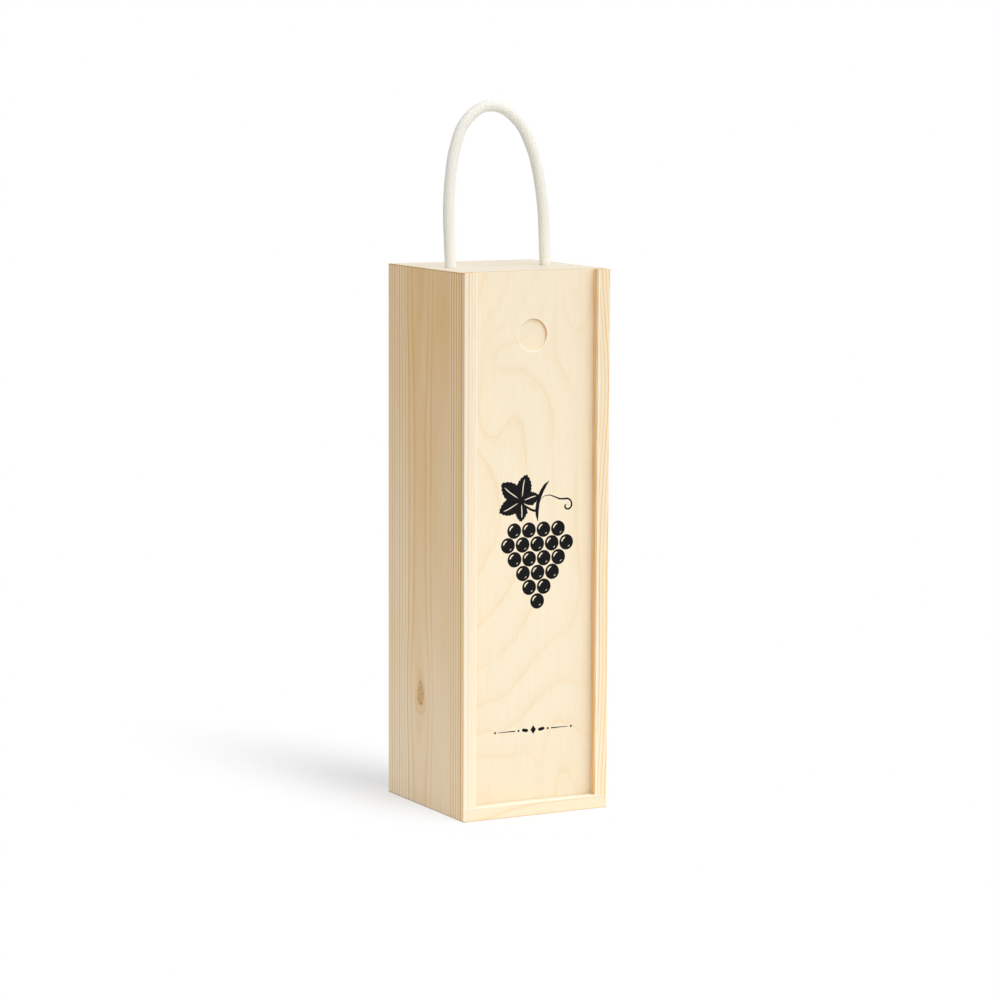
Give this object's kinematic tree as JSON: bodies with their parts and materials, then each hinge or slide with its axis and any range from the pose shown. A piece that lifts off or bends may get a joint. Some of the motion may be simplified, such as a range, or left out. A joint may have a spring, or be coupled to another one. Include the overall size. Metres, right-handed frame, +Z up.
{
  "type": "wooden wine box",
  "caption": "Tall pine box for a wine bottle, with a plywood lid that slides up and out of side grooves and a cotton rope handle knotted under the top.",
  "frame": {"origin": "middle of the underside of the bottom board, on the surface that the box stands on", "axes": "+Z up along the box's height, -Y out of the front with the lid, +X across the front"},
  "size_m": [0.108, 0.112, 0.4686],
  "materials": {
    "pine": "bare sanded softwood, matt",
    "birch_plywood": "bare sanded birch plywood, matt",
    "pin_steel": "bright drawn wire",
    "cotton_rope": "soft knitted cotton, matt"
  },
  "bodies": {
    "box": {"side_left": "pine", "side_right": "pine", "top_board": "pine", "bottom_board": "pine", "back_panel": "birch_plywood", "panel_pins": "pin_steel"},
    "lid": {"sliding_lid": "birch_plywood"},
    "handle": {"rope_handle": "cotton_rope", "knot_left": "cotton_rope", "knot_right": "cotton_rope"}
  },
  "joints": [
    {"name": "lid_slide", "type": "slide", "parent": "box", "child": "lid", "axis": [0, 0, 1], "range_m": [0, 0.36]},
    {"name": "handle_slide", "type": "slide", "parent": "box", "child": "handle", "axis": [0, 0.0872, 0.9962], "range_m": [-0.03, 0]}
  ]
}
